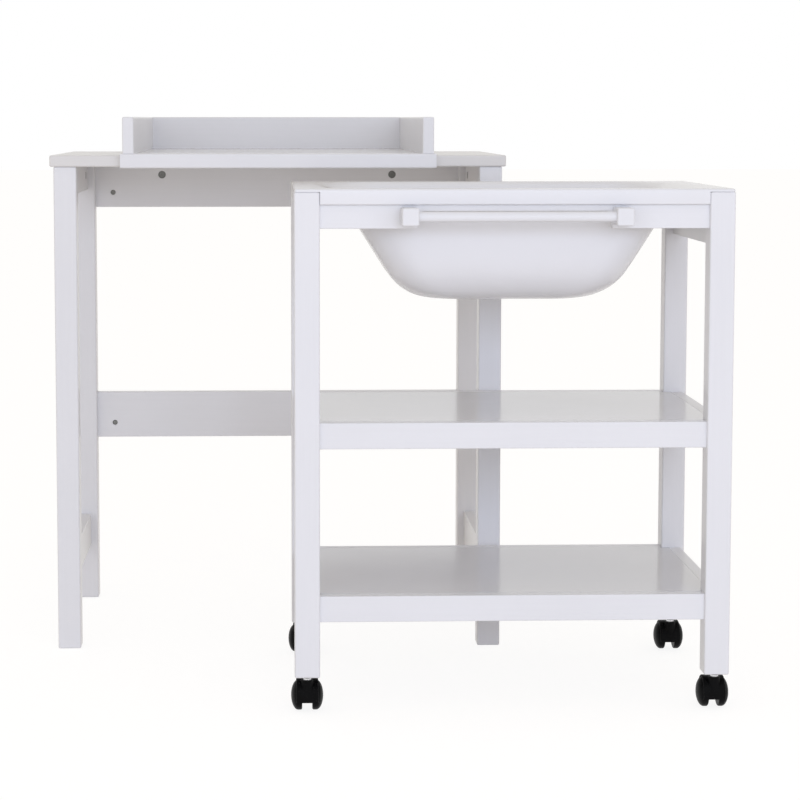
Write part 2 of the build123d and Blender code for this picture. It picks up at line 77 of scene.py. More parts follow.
# Shader maths


class Signal:
    """A shader value that Python's operators combine through Math nodes."""

    def __init__(self, graph, socket):
        self.graph = graph
        self.socket = socket

    def _math(self, operation, first, second):
        return self.graph.add("ShaderNodeMath", {"operation": operation}, {0: first, 1: second})

    def __add__(self, other):
        return self._math("ADD", self, other)

    def __radd__(self, other):
        return self._math("ADD", other, self)

    def __sub__(self, other):
        return self._math("SUBTRACT", self, other)

    def __rsub__(self, other):
        return self._math("SUBTRACT", other, self)

    def __mul__(self, other):
        return self._math("MULTIPLY", self, other)

    def __rmul__(self, other):
        return self._math("MULTIPLY", other, self)


class Graph:
    """Node tree of a material, a world or a modifier, filled through a single method."""

    def __init__(self, tree):
        self.tree = tree
        self.tree.nodes.clear()

    def add(self, kind, settings=None, inputs=None, output=0):
        """Add a node with its settings and its sockets' values or links, and give one output.

        The setting named stops holds a colour ramp's pairs of place and colour.
        """
        node = self.tree.nodes.new(kind)
        for name, value in (settings or {}).items():
            if name == "stops":
                for element, (place, colour) in zip(node.color_ramp.elements, value):
                    element.position = place
                    element.color = colour
            else:
                setattr(node, name, value)
        for key, value in (inputs or {}).items():
            for item in value if isinstance(value, list) else [value]:
                if isinstance(item, Signal):
                    self.tree.links.new(item.socket, node.inputs[key])
                else:
                    node.inputs[key].default_value = item
        return Signal(self, None if output is None else node.outputs[output])


class Look(Graph):
    """Node tree of a new material, with the nodes that several materials share."""

    def __init__(self, name):
        self.material = bpy.data.materials.new(name)
        self.material.use_nodes = True
        super().__init__(self.material.node_tree)

    def noise(self, scale, detail=2.0, roughness=0.5, stretch=(1.0, 1.0, 1.0)):
        """Grey noise from 0 to 1 on Object coordinates, which stretch multiplies axis by axis."""
        coordinates = self.add("ShaderNodeTexCoord", None, None, "Object")
        place = self.add("ShaderNodeMapping", None, {"Vector": coordinates, "Scale": stretch})
        inputs = {"Vector": place, "Scale": scale, "Detail": detail, "Roughness": roughness}
        return self.add("ShaderNodeTexNoise", None, inputs, "Fac")

    def shades(self, value, colour, span, factors):
        """A colour that goes from one of its shades to another while a value crosses a span."""
        stops = [
            (place, tuple(channel * factor for channel in colour) + (1.0,))
            for place, factor in zip(span, factors)
        ]
        return self.add("ShaderNodeValToRGB", {"stops": stops}, {0: value})

    def bump(self, height, strength, distance):
        """Bump from a height signal."""
        inputs = {"Height": height, "Strength": strength, "Distance": distance}
        return self.add("ShaderNodeBump", None, inputs)

    def finish(self, surface):
        """Close the tree with its surface shader."""
        self.add("ShaderNodeOutputMaterial", None, {"Surface": surface}, None)
        return self.material

    def principled(self, inputs):
        """Close the tree with one Principled shader."""
        return self.finish(self.add("ShaderNodeBsdfPrincipled", None, inputs))


def blend(first, second, share):
    """Sum of two signals, of which the second has a share."""
    return first * (1 - share) + second * share


# Materials


def grain_scale(axis, along, across):
    """Scale that stretches a pattern along one axis."""
    scale = [across, across, across]
    scale["xyz".index(axis)] = along
    return tuple(scale)


def lacquered_wood(name, axis, white, settings):
    """White satin lacquer over planed beech: faint pores along the grain, a slight orange peel."""
    pore_stretch = grain_scale(axis, along=6.0, across=240.0)
    pore_share = 0.4
    pore_roughness = 0.1
    peel_share = 0.4
    look = Look(name)
    grain = look.noise(scale=1.0, detail=3.0, roughness=0.6, stretch=pore_stretch)
    cloud = look.noise(scale=5.0)
    peel = look.noise(scale=420.0)
    tone = blend(cloud, grain, pore_share)
    height = blend(grain, peel, peel_share)
    return look.principled(
        {
            "Base Color": look.shades(tone, white, span=(0.25, 0.75), factors=(0.955, 1.0)),
            "Roughness": settings.lacquer_roughness + pore_roughness * grain,
            "Normal": look.bump(height, strength=0.12, distance=0.0004),
            "Coat Weight": 0.25,
            "Coat Roughness": 0.12,
        }
    )


def glossy_panel(name, settings):
    """Smooth white board with a glossy film, as on the shelves and the tray's floor."""
    cloud_roughness = 0.04
    look = Look(name)
    cloud = look.noise(scale=4.0)
    ripple = look.noise(scale=36.0, detail=1.0)
    colour = look.shades(cloud, settings.panel_colour, span=(0.3, 0.7), factors=(0.97, 1.0))
    return look.principled(
        {
            "Base Color": colour,
            "Roughness": settings.panel_roughness + cloud_roughness * cloud,
            "Normal": look.bump(ripple, strength=0.06, distance=0.0006),
            "Specular IOR Level": 0.22,
        }
    )


def bath_plastic(name, settings):
    """Injection-moulded white plastic with a high gloss and slow flow waves."""
    skin_share = 0.3
    skin_roughness = 0.05
    look = Look(name)
    flow = look.noise(scale=7.0, stretch=(1.0, 1.6, 1.0))
    skin = look.noise(scale=160.0)
    colour = look.shades(flow, settings.bath_colour, span=(0.3, 0.7), factors=(0.98, 1.0))
    height = blend(flow, skin, skin_share)
    return look.principled(
        {
            "Base Color": colour,
            "Roughness": settings.bath_roughness + skin_roughness * skin,
            "Normal": look.bump(height, strength=0.05, distance=0.0008),
            "IOR": 1.49,
            "Specular IOR Level": 0.35,
        }
    )


def castor_nylon(name, roughness, settings):
    """Black moulded nylon with a fine sparked grain and a slightly cloudy tone."""
    spark_roughness = 0.15
    look = Look(name)
    spark = look.noise(scale=1400.0, detail=3.0, roughness=0.7)
    cloud = look.noise(scale=60.0)
    colour = look.shades(cloud, settings.castor_colour, span=(0.3, 0.75), factors=(0.8, 1.5))
    return look.principled(
        {
            "Base Color": colour,
            "Roughness": roughness + spark_roughness * spark,
            "Normal": look.bump(spark, strength=0.25, distance=0.0002),
            "IOR": 1.5,
            "Specular IOR Level": 0.07,
        }
    )


def plated_steel(name, colour, roughness, mark_scale):
    """Zinc or chrome plating with fine marks."""
    mark_roughness = 0.15
    look = Look(name)
    marks = look.noise(scale=mark_scale, detail=3.0)
    return look.principled(
        {
            "Base Color": look.shades(marks, colour, span=(0.3, 0.7), factors=(0.85, 1.0)),
            "Metallic": 1.0,
            "Roughness": roughness + mark_roughness * marks,
            "Normal": look.bump(marks, strength=0.1, distance=0.0001),
        }
    )


def once(name, make, *given):
    """The material of that name, made at its first use."""
    return bpy.data.materials.get(name) or make(name, *given)


def lacquer_for(node, settings):
    """The lacquer of one node of the frame, with its grain along the node's longest side."""
    size = box_size(node)
    axis = "xyz"[max(range(3), key=lambda index: size[index])]
    kind, white = "frame", settings.lacquer_colour
    if node == "table_top":
        kind, white = "board", settings.board_colour
    return once(kind + "_lacquer_grain_" + axis, lacquered_wood, axis, white, settings)


def board_for(settings):
    """The glossy board of the shelves and of the tray's floor."""
    return once("white_gloss_board", glossy_panel, settings)


def steel_for(settings):
    """The bright steel of bolts, screws and castor pins."""
    roughness = 0.18
    mark_scale = 300.0
    return once("bright_plated_steel", plated_steel, settings.steel_colour, roughness, mark_scale)


def zinc_for(settings):
    """The dark zinc of cams and barrel nuts."""
    roughness = 0.42
    mark_scale = 500.0
    return once("dark_cast_zinc", plated_steel, settings.zinc_colour, roughness, mark_scale)


# Meshes


def coat(mesh, material):
    """Give a mesh its only material."""
    mesh.materials.clear()
    mesh.materials.append(material)


def paint(node, material):
    """Give a node of the frame its material."""
    coat(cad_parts[node].data, material)


def new_piece(name, mesh, material, body, replaced):
    """Put a finished mesh into the scene as a piece of a body, in place of a node of the frame."""
    piece = bpy.data.objects.new(name, mesh)
    bpy.context.scene.collection.objects.link(piece)
    coat(mesh, material)
    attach(piece, body)
    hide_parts(replaced)


def smooth(mesh, angle_degrees):
    """Smooth shading that keeps edges sharper than an angle."""
    mesh.shade_smooth()
    mesh.set_sharp_from_angle(angle=math.radians(angle_degrees))


def rounded_ring(half_x, half_y, corner, z, side_shares):
    """Closed loop of points round a rectangle with round corners.

    side_shares holds the stops along the sides that run in x and along those that run in y, so
    that every loop with the same stops has the same count of points.
    """
    corner_steps = 12
    points = []
    reach_x = half_x - corner
    reach_y = half_y - corner
    centres = ((reach_x, reach_y), (-reach_x, reach_y), (-reach_x, -reach_y), (reach_x, -reach_y))
    for quarter, (centre_x, centre_y) in enumerate(centres):
        for step in range(corner_steps + 1):
            angle = quarter_turn * (quarter + step / corner_steps)
            x = centre_x + corner * math.cos(angle)
            y = centre_y + corner * math.sin(angle)
            points.append(Vector((x, y, z)))
        next_x, next_y = centres[(quarter + 1) % len(centres)]
        start = points[-1]
        turn = quarter_turn * (quarter + 1)
        end = Vector((next_x + corner * math.cos(turn), next_y + corner * math.sin(turn), z))
        for share in side_shares[quarter % 2]:
            points.append(start.lerp(end, share))
    return points


def skin_rings(mesh_data, rings, place):
    """Join loops of equal length with quads, close both end loops and move all to a place."""
    made = []
    for ring in rings:
        made.append([mesh_data.verts.new(point + place) for point in ring])
    for lower, upper in zip(made, made[1:]):
        count = len(lower)
        for index in range(count):
            following = (index + 1) % count
            mesh_data.faces.new((lower[index], lower[following], upper[following], upper[index]))
    mesh_data.faces.new(list(reversed(made[0])))
    mesh_data.faces.new(made[-1])


def mesh_from(mesh_data, name, angle_degrees):
    """Finish a bmesh with outward faces and smooth shading."""
    bmesh.ops.remove_doubles(mesh_data, verts=mesh_data.verts, dist=weld_distance)
    bmesh.ops.recalc_face_normals(mesh_data, faces=mesh_data.faces)
    mesh = bpy.data.meshes.new(name)
    mesh_data.to_mesh(mesh)
    mesh_data.free()
    smooth(mesh, angle_degrees)
    return mesh


# Fasteners that repeat

# Lengths are counted from the head's face.
cam_sizes = {
    "Radius": 0.0075,
    "Thickness": 0.0125,
    "Shank Radius": 0.003,
    "Shank Length": 0.013,
    "Recess Length": 0.006,
    "Recess Width": 0.003,
    "Recess Depth": 0.005,
}
nut_sizes = {
    "Radius": 0.005,
    "Thickness": 0.014,
    "Shank Radius": 0.003,
    "Shank Length": 0.0141,
    "Recess Length": 0.005,
    "Recess Width": 0.001,
    "Recess Depth": 0.004,
}
bolt_sizes = {
    "Radius": 0.0065,
    "Thickness": 0.0025,
    "Shank Radius": 0.003,
    "Shank Length": 0.083,
    "Recess Length": 0.0046,
    "Recess Width": 0.0046,
    "Recess Depth": 0.0022,
}
# The taller solids in the cam locks' node are studs. The wood hides them: they are left out.
cam_height_limit = 0.02
head_sides = 40
shank_sides = 20
groove_outer_share = 0.92
groove_inner_share = 0.62
core_overlap = 1.2


def cylinder(graph, radius, depth, sides):
    """Cylinder round z whose middle is the origin."""
    inputs = {"Vertices": sides, "Radius": radius, "Depth": depth}
    return graph.add("GeometryNodeMeshCylinder", None, inputs)


def boolean(graph, operation, inputs):
    """Exact union or difference of meshes."""
    settings = {"operation": operation, "solver": "EXACT"}
    return graph.add("GeometryNodeMeshBoolean", settings, inputs)


def driver_recess(graph, kind, given):
    """Cutters of a driver recess, half sunk in the head's face: a slot, a cross or a hexagon."""
    depth = given("Recess Depth") * 2
    if kind == "hexagon":
        return [cylinder(graph, given("Recess Length") * 0.5, depth, sides=6)]
    lengths = {"X": given("Recess Length"), "Y": given("Recess Width"), "Z": depth}
    size = graph.add("ShaderNodeCombineXYZ", None, lengths)
    arms = {"slot": 1, "cross": 2}[kind]
    cutters = []
    for arm in range(arms):
        bar = graph.add("GeometryNodeMeshCube", None, {"Size": size})
        turned = {"Geometry": bar, "Rotation": (0, 0, math.pi * arm / arms)}
        cutters.append(graph.add("GeometryNodeTransform", None, turned))
    return cutters


def ring_groove(graph, given):
    """Cutter of a ring that runs just inside the head's edge, half sunk in its face."""
    depth = given("Recess Depth") * 2
    outer = cylinder(graph, given("Radius") * groove_outer_share, depth, head_sides)
    core = cylinder(graph, given("Radius") * groove_inner_share, depth * core_overlap, head_sides)
    return boolean(graph, "DIFFERENCE", {0: outer, 1: core})


def fastener_tree(name, recess, ringed=False):
    """Node tree that puts a fastener on each point, with its head's face on the point.

    The points carry two attributes: facing is the way the head looks, and turn is how far its
    recess is turned.
    """
    tree = bpy.data.node_groups.new(name, "GeometryNodeTree")
    graph = Graph(tree)
    tree.interface.new_socket("Points", in_out="INPUT", socket_type="NodeSocketGeometry")
    for label in cam_sizes:
        tree.interface.new_socket(label, in_out="INPUT", socket_type="NodeSocketFloat")
    tree.interface.new_socket("Finish", in_out="INPUT", socket_type="NodeSocketMaterial")
    tree.interface.new_socket("Fasteners", in_out="OUTPUT", socket_type="NodeSocketGeometry")
    source = tree.nodes.new("NodeGroupInput")

    def given(label):
        return Signal(graph, source.outputs[label])

    def rod(radius, start, end, sides):
        middle = graph.add("ShaderNodeCombineXYZ", None, {"Z": (start + end) * -0.5})
        moved = {"Geometry": cylinder(graph, radius, end - start, sides), "Translation": middle}
        return graph.add("GeometryNodeTransform", None, moved)

    def attribute(label, kind):
        return graph.add("GeometryNodeInputNamedAttribute", {"data_type": kind}, {"Name": label})

    thickness = given("Thickness")
    head = rod(given("Radius"), 0, thickness, head_sides)
    shank = rod(given("Shank Radius"), thickness * 0.5, given("Shank Length"), shank_sides)
    whole = boolean(graph, "UNION", {1: [head, shank]})
    cutters = driver_recess(graph, recess, given)
    if ringed:
        cutters.append(ring_groove(graph, given))
    marked = boolean(graph, "DIFFERENCE", {0: whole, 1: cutters})

    facing = {"Vector": attribute("facing", "FLOAT_VECTOR")}
    aligned = graph.add("FunctionNodeAlignRotationToVector", None, facing)
    turn = {"Axis": (0, 0, 1), "Angle": attribute("turn", "FLOAT")}
    turned = graph.add("FunctionNodeAxisAngleToRotation", None, turn)
    both = {"Rotation": aligned, "Rotate By": turned}
    rotation = graph.add("FunctionNodeRotateRotation", {"rotation_space": "LOCAL"}, both)

    placed = {"Points": given("Points"), "Instance": marked, "Rotation": rotation}
    spread = graph.add("GeometryNodeInstanceOnPoints", None, placed)
    real = graph.add("GeometryNodeRealizeInstances", None, {"Geometry": spread})
    coated = {"Geometry": real, "Material": given("Finish")}
    painted = graph.add("GeometryNodeSetMaterial", None, coated)
    graph.add("NodeGroupOutput", None, {"Fasteners": painted}, None)
    return tree


def fasteners_on(name, tree, places, sizes, material, body, node):
    """Run a fastener tree on a list of places with their facings, and keep a plain mesh of it."""
    draw = random.Random(name)
    cloud = bpy.data.meshes.new(name + "_points")
    cloud.from_pydata([place for place, _ in places], [], [])
    cloud.attributes.new("facing", "FLOAT_VECTOR", "POINT")
    cloud.attributes.new("turn", "FLOAT", "POINT")
    for index, (_, direction) in enumerate(places):
        cloud.attributes["facing"].data[index].vector = direction
        cloud.attributes["turn"].data[index].value = draw.uniform(0, math.pi)
    holder = bpy.data.objects.new(name + "_holder", cloud)
    bpy.context.scene.collection.objects.link(holder)
    modifier = holder.modifiers.new("fasteners", "NODES")
    modifier.node_group = tree
    inputs = [item for item in tree.interface.items_tree if item.in_out == "INPUT"]
    sockets = {item.name: item.identifier for item in inputs}
    for label, value in sizes.items():
        modifier[sockets[label]] = value
    modifier[sockets["Finish"]] = material
    bpy.context.view_layer.update()
    evaluated = holder.evaluated_get(bpy.context.evaluated_depsgraph_get())
    mesh = bpy.data.meshes.new_from_object(evaluated)
    mesh.name = name
    holder.modifiers.remove(modifier)
    bpy.data.objects.remove(holder)
    smooth(mesh, cut_edge_angle)
    new_piece(name, mesh, material, body, node)


def head_places(boxes, axis, middle, outward):
    """Face centre and facing of each fastener along an axis, with its head outward or inward."""
    places = []
    for low, high in boxes:
        centre = (low + high) / 2
        side = 1 if (centre[axis] > middle[axis]) == outward else -1
        place = centre.copy()
        place[axis] = high[axis] if side > 0 else low[axis]
        facing = Vector((0, 0, 0))
        facing[axis] = side
        places.append((place, facing))
    return places


def node_islands(node):
    """Boxes of the separate solids in one node, from its mesh."""
    source = bmesh.new()
    source.from_mesh(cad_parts[node].data)
    bmesh.ops.remove_doubles(source, verts=source.verts, dist=weld_distance)
    seen = set()
    boxes = []
    for start in source.verts:
        if start in seen:
            continue
        stack = [start]
        seen.add(start)
        members = []
        while stack:
            vertex = stack.pop()
            members.append(vertex.co.copy())
            for edge in vertex.link_edges:
                other = edge.other_vert(vertex)
                if other not in seen:
                    seen.add(other)
                    stack.append(other)
        low = Vector(min(point[axis] for point in members) for axis in range(3))
        high = Vector(max(point[axis] for point in members) for axis in range(3))
        boxes.append((low, high))
    source.free()
    return boxes


# Settings


def colour_setting(name, description, default):
    """Property that holds a colour."""
    return bpy.props.FloatVectorProperty(
        name=name, description=description, default=default, subtype="COLOR"
    )


def share_setting(name, description, default):
    """Property that holds a share from 0 to 1."""
    return bpy.props.FloatProperty(
        name=name, description=description, default=default, min=0.0, max=1.0
    )


def size_setting(name, description, default, unit="LENGTH"):
    """Property that holds a measure from 0 up, a length unless another unit is given."""
    return bpy.props.FloatProperty(
        name=name, description=description, default=default, min=0.0, unit=unit
    )


def angle_setting(name, description, degrees):
    """Property that holds an angle."""
    return size_setting(name, description, math.radians(degrees), "ROTATION")


class NurserySettings(bpy.types.PropertyGroup):
    """Colours, sizes and lights that the operators read"""

    lacquer_colour: colour_setting("Lacquer", "White of the frames", (0.80, 0.80, 0.82))
    lacquer_roughness: share_setting("Lacquer roughness", "Satin of the lacquer", 0.34)
    board_colour: colour_setting("Tabletop", "White of the tabletop", (0.74, 0.725, 0.71))
    panel_colour: colour_setting("Shelf board", "White of the shelf boards", (0.73, 0.73, 0.75))
    panel_roughness: share_setting("Board roughness", "Gloss of the shelf boards", 0.14)
    bath_colour: colour_setting("Bath", "White of the bath", (0.81, 0.81, 0.83))
    bath_roughness: share_setting("Bath roughness", "Gloss of the bath", 0.2)
    castor_colour: colour_setting("Castor", "Black of the castors", (0.0028, 0.0028, 0.003))
    steel_colour: colour_setting("Steel", "Bright plated steel", (0.78, 0.78, 0.8))
    zinc_colour: colour_setting("Zinc", "Dark cast zinc of cams and nuts", (0.34, 0.34, 0.33))

    bath_wall: size_setting("Bath wall", "Thickness of the bowl's wall", 0.004)
    bowl_clearance: size_setting("Bowl clearance", "Gap from bowl's rim to rails", 0.0015)
    bowl_floor_radius: size_setting("Floor arc", "Radius of the turn from floor to wall", 0.1)
    bowl_floor_corner: size_setting("Floor corner", "Corner radius at the bowl's floor", 0.055)
    bowl_rim_corner: size_setting("Rim corner", "Corner radius at the bowl's rim", 0.095)
    bowl_end_lean: angle_setting("End slope", "Lean of the end walls", 32)
    bowl_side_lean: angle_setting("Side slope", "Lean of the side walls", 13)
    bowl_end_flare: size_setting("End flare", "Radius at which the ends turn out", 0.08)
    bowl_side_flare: size_setting("Side flare", "Radius at which the sides turn out", 0.017)
    flange_thickness: size_setting("Flange", "Thickness of the flange", 0.005)
    flange_edge_radius: size_setting("Flange edge", "Rounding of the flange's top edge", 0.004)
    flange_corner_radius: size_setting("Flange corner", "Rounding of the flange in plan", 0.006)
    skirt_drop: size_setting("Skirt", "Height from the skirt's lower edge to the rim", 0.026)
    skirt_thickness: size_setting("Skirt wall", "Thickness of the skirt", 0.0045)
    skirt_clearance: size_setting("Skirt clearance", "Gap from a skirt's end to a post", 0.0005)
    skirt_edge_radius: size_setting("Skirt edge", "Rounding of the skirt's lower edge", 0.0025)
    skirt_swell: size_setting("Skirt swell", "How far the skirt swells outwards", 0.0005)
    rear_rail_lift: size_setting("Rear rail lift", "Rise of the rear rail's lower edge", 0.01)

    key_power: size_setting("Key light", "Power of the soft lamp in front", 17.0, "POWER")
    key_size: size_setting("Key size", "Side of the square soft lamp in front", 1.8)
    key_spread: angle_setting("Key spread", "Angle over which the soft lamp fades", 90)
    front_power: size_setting("Front light", "Power of the wide lamp in front", 116.0, "POWER")
    world_strength: size_setting("Sky", "Strength of the even light all round", 0.66, "NONE")


# Bath and rear rail


def bowl_reach(z, floor, rim, inset, rim_reach, flare, lean, settings):
    """How far the bowl's wall stands from its middle at a height.

    From the floor up it is an arc, a leaning wall and a flare.
    """
    flare_radius = flare - settings.bath_wall + inset
    flare_middle = rim - flare
    flare_start = flare_middle + flare_radius * math.sin(lean)
    if z > flare_start:
        rise = min(z - flare_middle, flare_radius)
        return rim_reach - math.sqrt(flare_radius**2 - rise**2)

    def leaning_reach(height):
        return rim_reach - flare_radius * math.cos(lean) - (flare_start - height) * math.tan(lean)

    radius = settings.bowl_floor_radius - inset
    if z > floor + radius * (1 - math.sin(lean)):
        return leaning_reach(z)
    arc_middle = leaning_reach(floor) - radius * (1 - math.sin(lean)) / math.cos(lean)
    return arc_middle + math.sqrt(max(radius**2 - (radius - z + floor) ** 2, 0))


def bowl_rings(bottom, rim, inset, side_shares, settings):
    """Loops of one skin of the bowl from its floor up to the flange; inset is 0 on the outside."""
    floor = bottom + inset
    top = rim - settings.bath_wall + inset
    end = rim if inset else rim - settings.flange_thickness
    arc_rise = (settings.bowl_floor_radius - inset) * (1 - math.sin(settings.bowl_side_lean))
    flare_radius = settings.bowl_end_flare - settings.bath_wall + inset
    flare_drop = flare_radius * (1 - math.sin(settings.bowl_end_lean))
    flare_end_share = math.sqrt((top - end) / flare_drop)
    arc_steps = 16
    wall_steps = 8
    flare_steps = 18
    heights = [floor + arc_rise * (step / arc_steps) ** 2 for step in range(arc_steps)]
    wall_rise = top - flare_drop - floor - arc_rise
    heights += [floor + arc_rise + wall_rise * step / wall_steps for step in range(wall_steps)]
    for step in range(flare_steps + 1):
        share = 1 + (flare_end_share - 1) * step / flare_steps
        heights.append(top - flare_drop * share**2)

    middle = box_middle("bath_tub")
    reach_x = middle.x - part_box("trolley_rail_left")[1].x - settings.bowl_clearance
    reach_y = middle.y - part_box("trolley_rail_front")[1].y - settings.bowl_clearance
    ends = (reach_x, settings.bowl_end_flare, settings.bowl_end_lean, settings)
    sides = (reach_y, settings.bowl_side_flare, settings.bowl_side_lean, settings)
    corner_growth = settings.bowl_rim_corner - settings.bowl_floor_corner
    rings = []
    for z in heights:
        half_x = bowl_reach(z, floor, rim, inset, *ends)
        half_y = bowl_reach(z, floor, rim, inset, *sides)
        widening = corner_growth * (z - floor) / (top - floor)
        corner = settings.bowl_floor_corner + widening - inset
        if not rings:
            edge = settings.bath_wall
            rings.append(rounded_ring(half_x - edge, half_y - edge, corner - edge, z, side_shares))
        rings.append(rounded_ring(half_x, half_y, corner, z, side_shares))
    return rings


def skirt_stops(size, settings):
    """Stops for the loops along the bath's sides, and which points of a loop lie on a skirt.

    Each end of a skirt has a close pair of points.
    """
    pair_gap = 0.00005
    skirt_steps = 6
    shares = []
    skirt_halves = []
    for span in (size.x, size.y):
        skirt_half = span / 2 - box_size("trolley_post_front_left").x - settings.skirt_clearance
        side_half = span / 2 - settings.flange_corner_radius
        outside = (side_half - skirt_half) / (2 * side_half)
        inside = outside + pair_gap / (2 * side_half)
        between = [
            inside + (1 - 2 * inside) * step / skirt_steps for step in range(skirt_steps + 1)
        ]
        shares.append([outside] + between + [1 - outside])
        skirt_halves.append(skirt_half - pair_gap / 2)
    outline = rounded_ring(size.x / 2, size.y / 2, settings.flange_corner_radius, 0, shares)
    is_skirt = [
        (abs(point.x) < skirt_halves[0]) or (abs(point.y) < skirt_halves[1]) for point in outline
    ]
    return shares, is_skirt


def flange_rings(size, rim, side_shares, is_skirt, settings):
    """Loops over the flat flange, round its edge, down the skirt and back underneath."""
    edge = settings.flange_edge_radius
    corner = settings.flange_corner_radius
    half_x = size.x / 2
    half_y = size.y / 2

    def loop(outward, z):
        return rounded_ring(half_x + outward, half_y + outward, corner + outward, z, side_shares)

    flat_width = settings.bath_wall / 4
    rings = [loop(-edge - flat_width, rim)]
    edge_steps = 6
    for step in range(edge_steps + 1):
        angle = quarter_turn * step / edge_steps
        rings.append(loop(-edge + edge * math.sin(angle), rim - edge + edge * math.cos(angle)))

    underside = rim - settings.flange_thickness
    bottom = rim - settings.skirt_drop
    lower_edge = settings.skirt_edge_radius
    thickness = settings.skirt_thickness
    profile = []
    face_steps = 6
    face_height = rim - edge - bottom - lower_edge
    for step in range(1, face_steps + 1):
        share = step / face_steps
        swell = settings.skirt_swell * math.sin(math.pi * share)
        profile.append((swell, rim - edge - face_height * share, 0))
    for step in range(1, edge_steps + 1):
        angle = quarter_turn * step / edge_steps
        outward = lower_edge * (math.cos(angle) - 1)
        profile.append((outward, bottom + lower_edge * (1 - math.sin(angle)), 0))
    profile.append((-thickness, bottom, -thickness))
    profile.append((-thickness, underside, -thickness))
    for outward, z, plain_outward in profile:
        hanging = loop(outward, z)
        plain = loop(plain_outward, underside)
        rings.append([low if skirt else high for low, high, skirt in zip(hanging, plain, is_skirt)])
    return rings


def rear_rail_mesh(settings):
    """The rear rail with its lower edge raised, so that the front rail hides it."""
    mesh_data = bmesh.new()
    mesh_data.from_mesh(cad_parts["trolley_rail_rear"].data)
    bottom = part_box("trolley_rail_rear")[0].z
    for vertex in mesh_data.verts:
        if vertex.co.z < bottom + settings.rear_rail_lift / 2:
            vertex.co.z += settings.rear_rail_lift
    return mesh_from(mesh_data, "trolley_rear_rail", cut_edge_angle)


# Operators


class NURSERY_OT_table(bpy.types.Operator):
    """Lacquer the table's top, legs, aprons and stretchers"""

    bl_idname = "nursery.table"
    bl_label = "Table frame"

    def execute(self, context):
        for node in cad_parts:
            if node.startswith(("table_top", "table_leg", "table_apron", "table_stretcher")):
                paint(node, lacquer_for(node, context.scene.nursery))
        return {"FINISHED"}


class NURSERY_OT_tray(bpy.types.Operator):
    """Lacquer the loose tray"""

    bl_idname = "nursery.tray"
    bl_label = "Tray"

    def execute(self, context):
        settings = context.scene.nursery
        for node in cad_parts:
            if node.startswith(("tray_wall", "tray_front")):
                paint(node, lacquer_for(node, settings))
        paint("tray_floor", board_for(settings))
        return {"FINISHED"}


class NURSERY_OT_trolley(bpy.types.Operator):
    """Lacquer the trolley's posts, rails, shelves and towel bar"""

    bl_idname = "nursery.trolley"
    bl_label = "Trolley frame"

    def execute(self, context):
        settings = context.scene.nursery
        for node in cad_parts:
            if node.endswith("shelf_panel"):
                paint(node, board_for(settings))
            elif "shelf_rail" in node or node.startswith(
                ("trolley_post", "trolley_rail", "towel_bar")
            ):
                paint(node, lacquer_for(node, settings))
        rail = "trolley_rail_rear"
        mesh = rear_rail_mesh(settings)
        lacquer = lacquer_for(rail, settings)
        new_piece("trolley_rear_rail", mesh, lacquer, "trolley", rail)
        return {"FINISHED"}


class NURSERY_OT_bath(bpy.types.Operator):
    """Mould the tub with its bowl, flange and skirt in glossy plastic"""

    bl_idname = "nursery.bath"
    bl_label = "Bath"

    def execute(self, context):
        settings = context.scene.nursery
        low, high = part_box("bath_tub")
        middle = (low + high) / 2
        size = high - low
        side_shares, is_skirt = skirt_stops(size, settings)
        rings = bowl_rings(low.z, high.z, settings.bath_wall, side_shares, settings)
        rings += flange_rings(size, high.z, side_shares, is_skirt, settings)
        rings += reversed(bowl_rings(low.z, high.z, 0, side_shares, settings))
        mesh_data = bmesh.new()
        skin_rings(mesh_data, rings, Vector((middle.x, middle.y, 0)))
        mesh = mesh_from(mesh_data, "moulded_bath", moulded_edge_angle)
        material = bath_plastic("bath_white_plastic", settings)
        new_piece("moulded_bath", mesh, material, "bath", "bath_tub")
        return {"FINISHED"}


class NURSERY_OT_castors(bpy.types.Operator):
    """Dress hoods, wheels, sockets and pins of the castors"""

    bl_idname = "nursery.castors"
    bl_label = "Castors"

    def execute(self, context):
        settings = context.scene.nursery
        hood_roughness = 0.38
        wheel_roughness = 0.3
        hood = castor_nylon("castor_hood_nylon", hood_roughness, settings)
        wheel = castor_nylon("castor_wheel_nylon", wheel_roughness, settings)
        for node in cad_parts:
            if node.startswith(("castor_hood", "castor_sockets")):
                paint(node, hood)
            elif node.startswith("castor_wheel"):
                paint(node, wheel)
            elif node.startswith("castor_pins"):
                paint(node, steel_for(settings))
        return {"FINISHED"}


class NURSERY_OT_fasteners(bpy.types.Operator):
    """Mark cams, barrel nuts and bolts with their recesses, and dress the screws"""

    bl_idname = "nursery.fasteners"
    bl_label = "Fasteners"

    def execute(self, context):
        settings = context.scene.nursery
        steel = steel_for(settings)
        zinc = zinc_for(settings)
        crossed = fastener_tree("crossed_fastener", "cross", ringed=True)
        slotted = fastener_tree("slotted_fastener", "slot", ringed=True)
        socketed = fastener_tree("socketed_fastener", "hexagon")
        middles = {"table": box_middle("table_top"), "trolley": box_middle("bath_tub")}

        node = "table_cam_locks"
        places = []
        for low, high in node_islands(node):
            size = high - low
            if size.z < cam_height_limit:
                axis = x_axis if size.x < size.y else y_axis
                places += head_places([(low, high)], axis, middles["table"], outward=False)
        fasteners_on(
            "table_cam_faces", crossed, places, cam_sizes, zinc, "table", node
        )
        for body, middle in middles.items():
            node = body + "_barrel_nuts"
            name = body + "_nut_barrels"
            places = head_places(node_islands(node), y_axis, middle, outward=False)
            fasteners_on(name, slotted, places, nut_sizes, zinc, body, node)
        for body, middle in middles.items():
            node = body + "_frame_bolts"
            name = body + "_bolt_rods"
            places = head_places(node_islands(node), x_axis, middle, outward=True)
            fasteners_on(name, socketed, places, bolt_sizes, steel, body, node)
        paint("tray_screws", steel)
        return {"FINISHED"}


# Stage

